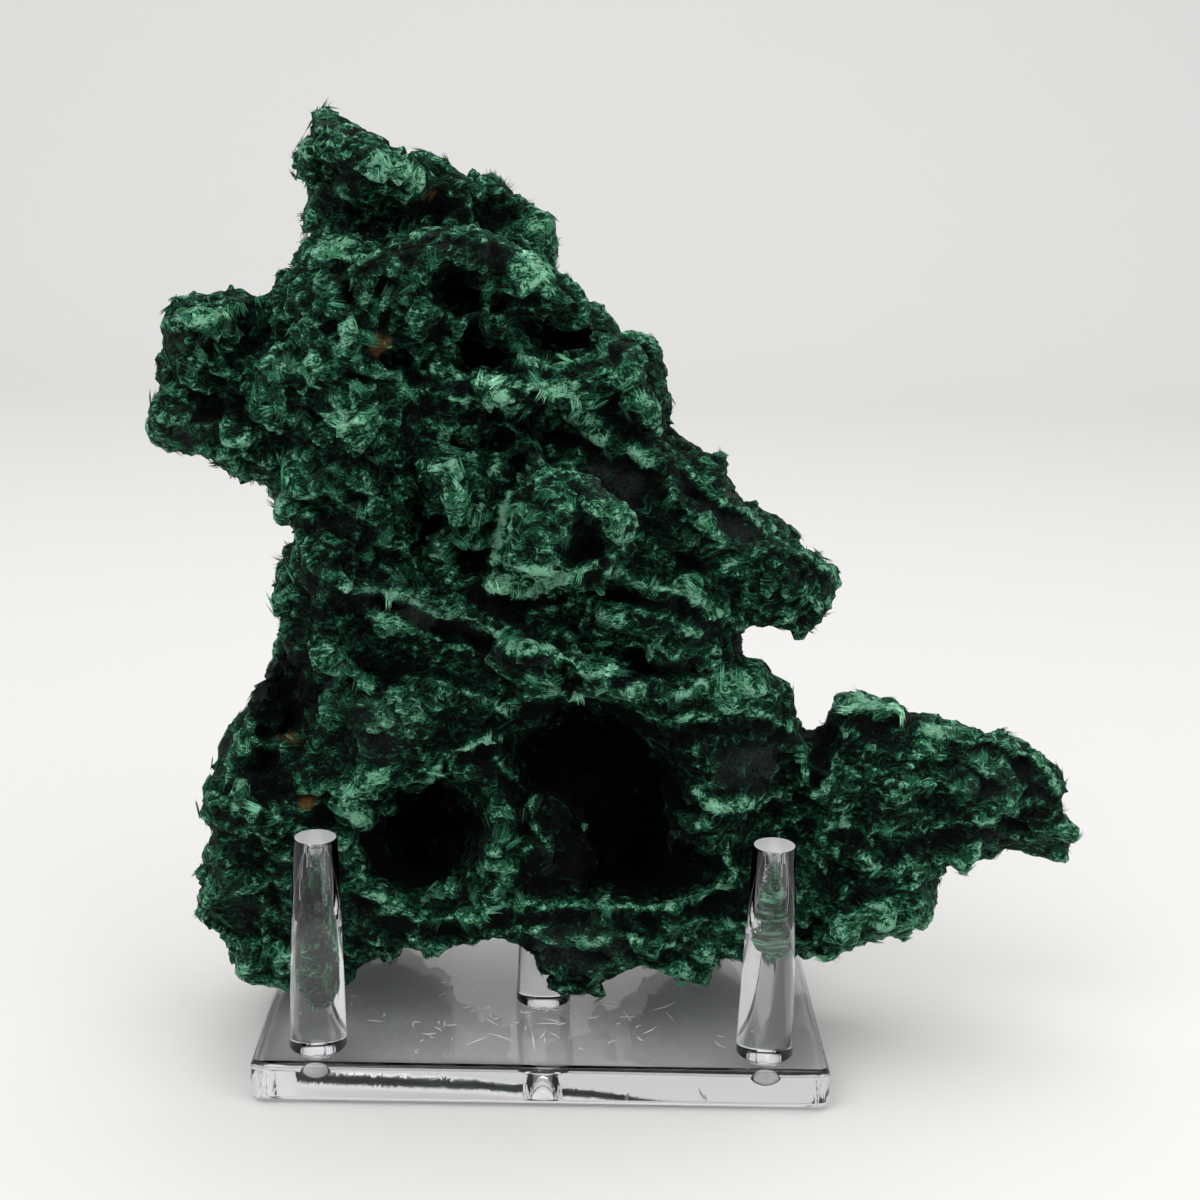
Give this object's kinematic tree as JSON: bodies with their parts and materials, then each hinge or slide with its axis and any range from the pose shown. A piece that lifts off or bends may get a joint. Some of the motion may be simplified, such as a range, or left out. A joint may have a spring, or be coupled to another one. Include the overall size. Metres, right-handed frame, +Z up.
{
  "type": "malachite specimen",
  "caption": "Rough dark green fibrous malachite with deep hollows and a hanging tip, standing between the tapered pegs of a clear acrylic display stand.",
  "frame": {"origin": "centre of the stand base's underside", "axes": "+Z up, +X to the right as seen from the front, the front faces -Y"},
  "size_m": [0.2025, 0.0744, 0.1987],
  "materials": {
    "malachite": "rough fibrous stone, dark green with pale green ridges",
    "clear_acrylic": "clear moulded acrylic, lightly scratched"
  },
  "bodies": {
    "root": {"malachite": "malachite", "stand_base": "clear_acrylic", "peg_front_left": "clear_acrylic", "peg_front_right": "clear_acrylic", "peg_rear": "clear_acrylic"}
  },
  "joints": []
}
